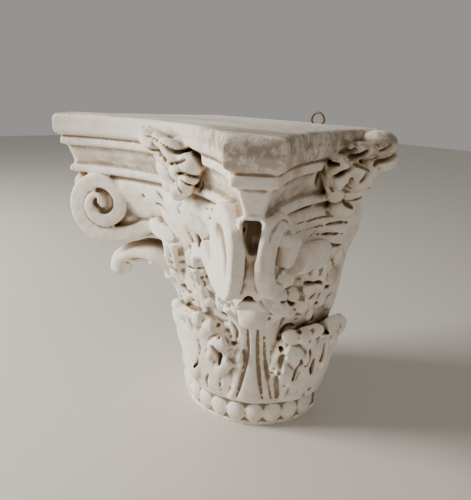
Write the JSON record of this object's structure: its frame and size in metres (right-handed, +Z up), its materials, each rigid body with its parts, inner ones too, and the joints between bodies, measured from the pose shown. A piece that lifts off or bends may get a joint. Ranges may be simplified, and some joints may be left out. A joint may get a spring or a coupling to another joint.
{
  "type": "corinthian half capital, plaster wall casting",
  "caption": "Wall-hung half of a Corinthian capital in cast plaster, with scrolls, leaves, flowers and a wire loop.",
  "frame": {"origin": "on the underside, where the column's axis meets it, 22.5 mm in front of the flat back", "axes": "+Z up along the column's axis, -Y out of the full face, +Y towards the wall, X along the full face"},
  "size_m": [0.3, 0.1725, 0.2826],
  "materials": {
    "plaster": "matte",
    "wire": "satin"
  },
  "bodies": {
    "root": {"capital": "plaster", "hanging_wire": "wire"}
  },
  "joints": []
}
